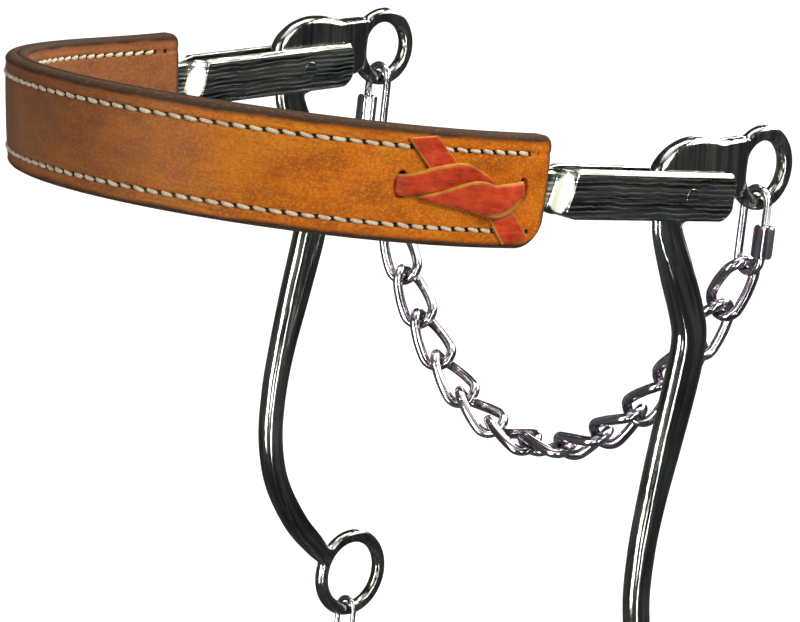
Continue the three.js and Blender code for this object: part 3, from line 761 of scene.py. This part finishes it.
def fork(name, side, node):
    vertices, faces, grain, facet = [], [], [], []
    for made in (fork_leg(side, 1), fork_leg(side, -1), tang(side)):
        base = len(vertices)
        vertices += made[0]
        turned = face_out(made[0], made[1])
        faces += [tuple(base + i for i in f) for f in turned]
        grain += made[2]
        facet += made[3]
    piece = make_piece(name, vertices, faces, FORK, "noseband", [node],
                       {"facet": facet}, grain)
    piece.data.set_sharp_from_angle(angle=math.radians(22))
    return piece


def pin(name, side, node):
    """The pivot pin, ground flush: only a hair line shows round its ends."""
    vertices, grain = [], []
    sides = 40
    ends = [(-LEG_OUTER - 0.03, PIN_RADIUS - 0.12), (-LEG_OUTER + 0.05, PIN_RADIUS),
            (LEG_OUTER - 0.05, PIN_RADIUS), (LEG_OUTER + 0.03, PIN_RADIUS - 0.12)]
    centre = cheek(side, PIVOT_REACH)
    for x, radius in ends:
        for j in range(sides):
            a = 2 * math.pi * j / sides
            p = (x, radius * math.cos(a), radius * math.sin(a))
            vertices.append(centre + np.array(p))
            grain.append((p[1], p[0], p[2] + 40))
    faces = face_out(vertices, tube_faces(len(ends), sides))
    piece = make_piece(name, vertices, faces, FORK, "noseband", [node], None,
                       grain)
    piece.data.set_sharp_from_angle(angle=math.radians(30))
    return piece


for label, side in (("left", 1), ("right", -1)):
    fork(f"fork_bar_{label}", side, f"fork_{label}")
    pin(f"flush_pin_{label}", side, f"pivot_pin_{label}")


# ---- Shanks ----

# Centre line of the arm: u rearwards and v up from the pivot, half width, half thickness
ARM = (
    (-4, -1, 6.4, 2.8), (-3, -12, 6.6, 3.2), (4.5, -27, 6.8, 4.6), (12.5, -42, 7, 4.8),
    (15.6, -52, 7.1, 4.9), (14.2, -67, 7.1, 4.9), (10, -90, 6.5, 4.8), (6.4, -111, 5.4, 4.7),
    (4.6, -129, 5, 4.6), (5.4, -148, 4.9, 4.5), (11, -166, 4.9, 4.4), (23, -183, 5, 4),
    (35, -194, 4.6, 3.2), (42, -200, 3.4, 2.6),
)
WEB = (
    (-10, -8), (-13.5, 0), (-13.5, 9), (-8, 15.5), (0, 19.4), (9, 20.4), (18, 19.4), (25, 20),
    (32, 19.5), (33, 9), (32, 0), (22, -3.5), (11, -6), (4, -10),
)


def shank_arm():
    mid = spline(ARM, 150)
    vertices = []
    sides = 32
    for i, (u, v, wide, thick) in enumerate(mid):
        along = mid[min(i + 1, len(mid) - 1), :2] - mid[max(i - 1, 0), :2]
        along /= np.linalg.norm(along)
        for j in range(sides):
            a = 2 * math.pi * j / sides
            # A bar with gently flattened sides
            c = math.copysign(abs(math.cos(a)) ** 0.86, math.cos(a))
            d = math.copysign(abs(math.sin(a)) ** 0.86, math.sin(a))
            vertices.append((thick * d, u - along[1] * wide * c, v + along[0] * wide * c))
    return vertices, tube_faces(len(mid), sides)


def shank_web():
    closed = WEB + WEB[:3]
    outline = spline(closed, 160)
    first = len(outline) // len(closed)
    outline = outline[first:first + int(round(160 * len(WEB) / (len(closed) - 1)))]
    centre = outline.mean(0)
    half = PLATE / 2
    vertices = []
    for x, inset in ((-half, 2.6), (-half + 0.9, 1.0), (-half + 2.2, 0),
                     (half - 2.2, 0), (half - 0.9, 1.0), (half, 2.6)):
        for q in outline:
            inward = (centre - q) / np.linalg.norm(centre - q)
            u, v = q + inward * inset
            vertices.append((x, u, v))
    return vertices, tube_faces(6, len(outline))


def shank_eye(centre, radius, section):
    ring = [(0, centre[0] + (radius + section / 2) * math.cos(a),
             centre[1] + (radius + section / 2) * math.sin(a))
            for a in np.linspace(0, 2 * math.pi, 97)[:-1]]
    vertices, faces, _ = sweep(ring, section / 2, 24)
    return vertices, faces


def forged_shank():
    """Arm, web and eyes as one body with soft hammered joins, about the pivot."""
    vertices, faces = [], []
    for made in (shank_arm(), shank_web(), shank_eye(TOP_EYE, TOP_EYE_RADIUS, TOP_SECTION),
                 shank_eye(LOWER_EYE, LOWER_EYE_RADIUS, LOWER_SECTION)):
        base = len(vertices)
        turned = face_out(made[0], made[1])
        faces += [tuple(base + i for i in f) for f in turned]
        vertices += [tuple(v) for v in made[0]]
    mesh = bpy.data.meshes.new("forging")
    mesh.from_pydata((np.asarray(vertices) * MM).tolist(), [], faces)
    rough = bpy.data.objects.new("forging", mesh)
    bpy.context.scene.collection.objects.link(rough)
    remesh = rough.modifiers.new("remesh", "REMESH")
    remesh.mode = "VOXEL"
    remesh.voxel_size = 0.6 * MM
    soften = rough.modifiers.new("soften", "SMOOTH")
    soften.factor = 0.5
    soften.iterations = 22
    graph = bpy.context.evaluated_depsgraph_get()
    made = bpy.data.meshes.new_from_object(rough.evaluated_get(graph))
    bpy.data.objects.remove(rough)
    count = len(made.vertices)
    points = np.zeros(count * 3)
    made.vertices.foreach_get("co", points)
    points = points.reshape(-1, 3) / MM
    return points, [tuple(p.vertices) for p in made.polygons]


def shank(name, side, node, points, faces):
    mid = spline(ARM, 150)
    distance = np.linalg.norm(points[:, None, 1:] - mid[None, :, :2], axis=2)
    nearest = distance.argmin(1)
    run = np.concatenate([[0], np.cumsum(np.linalg.norm(np.diff(mid[:, :2], axis=0), axis=1))])
    step = np.gradient(mid[:, :2], axis=0)
    step /= np.linalg.norm(step, axis=1)[:, None]
    offset = points[:, 1:] - mid[nearest, :2]
    along = run[nearest] + (offset * step[nearest]).sum(1)
    across = offset[:, 0] * -step[nearest, 1] + offset[:, 1] * step[nearest, 0]
    grain = np.stack([along, across, points[:, 0] + 50 * side], -1)
    placed = points + cheek(side, PIVOT_REACH)
    return make_piece(name, placed, faces, STEEL, f"shank_{node[6:]}", [node],
                      None, grain)


forged_points, forged_faces = forged_shank()
for label, side in (("left", 1), ("right", -1)):
    shank(f"forged_shank_{label}", side, f"shank_{label}", forged_points, forged_faces)


# ---- Quick links ----


def quick_top(side):
    p = cheek(side, PIVOT_REACH)
    return p + np.array((0, TOP_EYE[0], TOP_EYE[1] - TOP_EYE_RADIUS + SEAT + WIRE))


def quick_link(name, side, node, body):
    """A C of wire in the XZ plane, threaded where the sleeve screws on."""
    c = quick_top(side) - np.array((0, 0, QUICK_REACH))
    straight = QUICK_REACH - QUICK_HALF_WIDTH
    w = QUICK_HALF_WIDTH
    top_gap = -SLEEVE_DROP + LINK_OPENING / 2
    low_gap = -SLEEVE_DROP - LINK_OPENING / 2
    path = [(w, z) for z in np.arange(top_gap, straight, 0.12)]
    path += [(w * math.cos(a), straight + w * math.sin(a)) for a in np.linspace(0, math.pi, 40)]
    path += [(-w, z) for z in np.linspace(straight, -straight, 24)[1:-1]]
    path += [(w * math.cos(a), -straight + w * math.sin(a))
             for a in np.linspace(math.pi, 2 * math.pi, 40)]
    path += [(w, z) for z in np.arange(-straight + 0.12, low_gap, 0.12)]
    points = [c + np.array((side * x, 0, z)) for x, z in path]
    radii = []
    for x, z in path:
        near_gap = x > w - 0.01 and -straight < z < straight
        thread = 0.10 * math.sin(2 * math.pi * z / 0.7) - 0.05 if near_gap else 0
        radii.append(WIRE + thread)
    vertices, faces, grain = sweep(points, radii, 20, closed=False)
    return make_piece(name, vertices, face_out(vertices, faces), CHAIN, body,
                      [node], None, grain)


def quick_sleeve(name, side, node, body):
    """The hexagonal sleeve, with its corners chamfered and a bore for the rod."""
    c = quick_top(side) + np.array((side * QUICK_HALF_WIDTH, 0, -QUICK_REACH - SLEEVE_DROP))
    half = SLEEVE_LENGTH / 2
    flat = SLEEVE_ACROSS / 2
    corner = flat / math.cos(math.pi / 6)
    bore = WIRE + GAP
    sides = 96
    levels = [(-half, flat * 0.93), (-half + 0.35, flat * 1.02), (-half + 1.0, corner * 1.01),
              (half - 1.0, corner * 1.01), (half - 0.35, flat * 1.02), (half, flat * 0.93)]
    rings = [(z, lambda hexagon, limit=limit: min(hexagon, limit)) for z, limit in levels]
    rings += [(half, lambda hexagon: bore + 0.25), (half - 0.3, lambda hexagon: bore)]
    rings += [(-half + 0.3, lambda hexagon: bore), (-half, lambda hexagon: bore + 0.25)]
    vertices, grain = [], []
    for z, radius_at in rings:
        for j in range(sides):
            a = 2 * math.pi * j / sides
            turned = (a + math.pi / 6) % (math.pi / 3) - math.pi / 6
            hexagon = flat / math.cos(math.pi / 6 - abs(turned))
            r = radius_at(hexagon)
            vertices.append(c + np.array((r * math.cos(a), r * math.sin(a), z)))
            grain.append((z, r * math.cos(a), r * math.sin(a)))
    faces = face_out(vertices, tube_faces(len(rings), sides, closed=True))
    piece = make_piece(name, vertices, faces, CHAIN, body, [node], None, grain)
    piece.data.set_sharp_from_angle(angle=math.radians(24))
    return piece


for label, side in (("left", 1), ("right", -1)):
    quick_link(f"quick_link_rod_{label}", side, f"quick_link_{label}", f"quick_link_{label}")
    quick_sleeve(f"hex_sleeve_{label}", side, f"quick_link_sleeve_{label}", f"sleeve_{label}")


# ---- Chains ----


def hang(a, b, count, pitch):
    """Centres and directions of count links hung from a to b."""
    span = math.hypot(b[0] - a[0], b[1] - a[1])
    rise = b[2] - a[2]
    length = count * pitch
    target = math.sqrt(length**2 - rise**2)
    low, high = span / 40, span * 40
    for _ in range(80):
        k = (low + high) / 2
        if 2 * k * math.sinh(span / 2 / k) > target:
            low = k
        else:
            high = k
    k = (low + high) / 2
    middle = span / 2 - k * math.atanh(rise / length)
    nodes = []
    for i in range(count + 1):
        x = middle + k * math.asinh(i * pitch / k - math.sinh(middle / k))
        z = k * (math.cosh((x - middle) / k) - math.cosh(middle / k))
        p = a + (b - a) * (x / span)
        nodes.append(np.array((p[0], p[1], a[2] + z)))
    return [((p + q) / 2, (q - p) / np.linalg.norm(q - p)) for p, q in zip(nodes, nodes[1:])]


def hang_between(a, b, count, pitch, reach):
    """The same, with the run starting and ending reach away from a and b."""
    run = hang(a, b, count, pitch)
    for _ in range(6):
        run = hang(a + run[0][1] * reach, b - run[-1][1] * reach, count, pitch)
    return run


def link_path(c, t, reach, half_width, roll0, roll1):
    """The middle line of a link centred on c, its length along t, its face turned by roll."""
    side = np.array((0.0, 1.0, 0.0))
    third = np.cross(t, side)
    third /= np.linalg.norm(third)
    straight = reach - half_width
    arc = np.linspace(-math.pi / 2, math.pi / 2, 26)
    half = [(straight + half_width * math.cos(a), half_width * math.sin(a)) for a in arc]
    run = [(u, half_width) for u in np.linspace(straight, -straight, 12)[1:-1]]
    outline = half + run
    outline += [(-u, -v) for u, v in outline]
    points = []
    for u, v in outline:
        roll = roll0 + (roll1 - roll0) * (u / reach + 1) / 2
        points.append(c + t * u + side * v * math.cos(roll) + third * v * math.sin(roll))
    return points


LINK_SIDES = 14


def link(name, node, body, place, reach, half_width, wire, roll0, roll1):
    centre, along = place
    path = link_path(centre, along, reach, half_width, roll0, roll1)
    vertices, faces, grain = sweep(path, wire, LINK_SIDES)
    # Each link's pattern starts somewhere else
    moved = np.array(grain) + rng.uniform(0, 200, 3)
    return make_piece(name, vertices, face_out(vertices, faces), CHAIN, body,
                      [node], None, moved)


def quick_bight(side):
    return quick_top(side) + np.array((0, 0, QUICK_HALF_WIDTH - 2 * QUICK_REACH))


def end_link_centre(side):
    p = cheek(side, PIVOT_REACH)
    return p + np.array((0, LOWER_EYE[0], LOWER_EYE[1] - LOWER_EYE_RADIUS + SEAT
                         + END_LINK_WIRE - END_LINK_REACH))


QUARTER = math.pi / 2
curb_short = WIRE + CURB_WIRE + GAP - (CURB_REACH - CURB_PITCH / 2)
curb_run = hang_between(quick_bight(1), quick_bight(-1), CURB_LINKS, CURB_PITCH,
                        QUICK_HALF_WIDTH - curb_short)
for i, place in enumerate(curb_run):
    number = f"{i + 1:02d}"
    body = f"curb_link_{number}" if i % 2 == 0 else "curb_chain"
    roll = -QUARTER * i / (CURB_LINKS - 1)
    link(f"twisted_link_{number}", f"curb_link_{number}", body, place, CURB_REACH,
         CURB_HALF_WIDTH, CURB_WIRE, roll, roll + QUARTER)

hobble_short = END_LINK_WIRE + HOBBLE_WIRE + GAP - (HOBBLE_REACH - HOBBLE_PITCH / 2)
bight_up = np.array((0, 0, END_LINK_HALF_WIDTH - END_LINK_REACH))
hobble_run = hang_between(end_link_centre(1) + bight_up, end_link_centre(-1) + bight_up,
                          HOBBLE_LINKS, HOBBLE_PITCH, END_LINK_HALF_WIDTH - hobble_short)
down = np.array((0.0, 0.0, -1.0))
for label, side in (("left", 1), ("right", -1)):
    link(f"end_link_{label}", f"hobble_end_link_{label}", f"hobble_end_{label}",
         (end_link_centre(side), down), END_LINK_REACH, END_LINK_HALF_WIDTH, END_LINK_WIRE,
         QUARTER, QUARTER)
for i, place in enumerate(hobble_run):
    number = f"{i + 1:02d}"
    body = f"hobble_link_{number}" if i % 2 == 0 else "hobble_chain"
    roll = QUARTER if i % 2 else 0
    link(f"small_link_{number}", f"hobble_link_{number}", body, place, HOBBLE_REACH,
         HOBBLE_HALF_WIDTH, HOBBLE_WIRE, roll, roll)


# ---- Studio ----


def make_stage():
    s = Shader("pale_floor", 0.9)
    place = s.add("ShaderNodeTexCoord").outputs["Object"]
    cloud = s.noise(place, 1.5, 3, 0.5)
    s.link(s.mix(cloud, (0.90, 0.90, 0.90), (0.95, 0.95, 0.95)), "Base Color")
    low = -0.335
    away = Vector((CAMERA_LOOK.x, CAMERA_LOOK.y, 0)).normalized()
    aside = Vector((-away.y, away.x, 0))
    profile = [(-0.28, low), (0.9, low)]
    profile += [(0.9 + 0.5 * math.sin(a), low + 0.5 * (1 - math.cos(a)))
                for a in np.linspace(0, math.pi / 2, 16)[1:]]
    profile += [(1.4, 1.6)]
    vertices, faces = [], []
    for d, z in profile:
        for w in (-1.6, 1.6):
            vertices.append(Vector((0, 0.1, z)) + away * d + aside * w)
    for i in range(len(profile) - 1):
        faces.append((2 * i, 2 * i + 1, 2 * i + 3, 2 * i + 2))
    mesh = bpy.data.meshes.new("floor")
    mesh.from_pydata(vertices, [], faces)
    mesh.polygons.foreach_set("use_smooth", np.ones(len(faces), bool))
    mesh.materials.append(s.material)
    floor = bpy.data.objects.new("floor", mesh)
    # Left out of reflections, so that polished edges show the dark surroundings
    floor.visible_glossy = False
    bpy.context.scene.collection.objects.link(floor)


MIDDLE = (0, 0.12, -0.1)


def area_light(name, azimuth, elevation, distance, size, power, tint=(1, 1, 1), target=MIDDLE,
               glints=False):
    """A soft light seen from the object at azimuth (0 = ahead of the nose) and elevation.
    One for glints shows in polished faces and lights nothing else."""
    data = bpy.data.lights.new(name, "AREA")
    data.shape = "RECTANGLE"
    data.size, data.size_y = size
    data.energy = power
    data.color = tint
    lamp = bpy.data.objects.new(name, data)
    a, e = math.radians(azimuth), math.radians(elevation)
    back = Vector((math.sin(a) * math.cos(e), -math.cos(a) * math.cos(e), math.sin(e)))
    lamp.location = Vector(target) + back * distance
    lamp.rotation_euler = (-back).to_track_quat("-Z", "Y").to_euler()
    lamp.visible_diffuse = not glints
    bpy.context.scene.collection.objects.link(lamp)


make_stage()
world = bpy.data.worlds.new("studio")
world.use_nodes = True
world.node_tree.nodes["Background"].inputs["Color"].default_value = (0.9, 0.97, 1, 1)
world.node_tree.nodes["Background"].inputs["Strength"].default_value = 0.10
bpy.context.scene.world = world
bpy.context.scene.view_settings.view_transform = "Standard"
area_light("key", 86, 34, 1.5, (0.8, 0.9), 16, (1, 0.97, 0.92))
area_light("front_fill", 20, 25, 1.6, (0.9, 0.9), 5)
area_light("overhead", 30, 84, 1.4, (1.2, 1.2), 7)
area_light("backdrop_left", 190, 40, 1.6, (1.0, 0.6), 16, target=(-0.9, 1.0, -0.1))
area_light("backdrop_front", 60, 60, 1.9, (1.4, 0.8), 34, target=(-0.9, 1.0, 0.0))
area_light("strip_left", 2, 0, 1.2, (0.44, 1.5), 34, (1, 1, 0.92), glints=True)
area_light("strip_right", 74, 0, 1.1, (0.06, 1.3), 7, (0.85, 0.93, 1), glints=True)
area_light("low_front", 43, -10, 1.3, (0.22, 0.22), 3, glints=True)
area_light("rim", 160, 40, 1.5, (1.1, 0.6), 22, (1, 0.98, 0.88), glints=True)
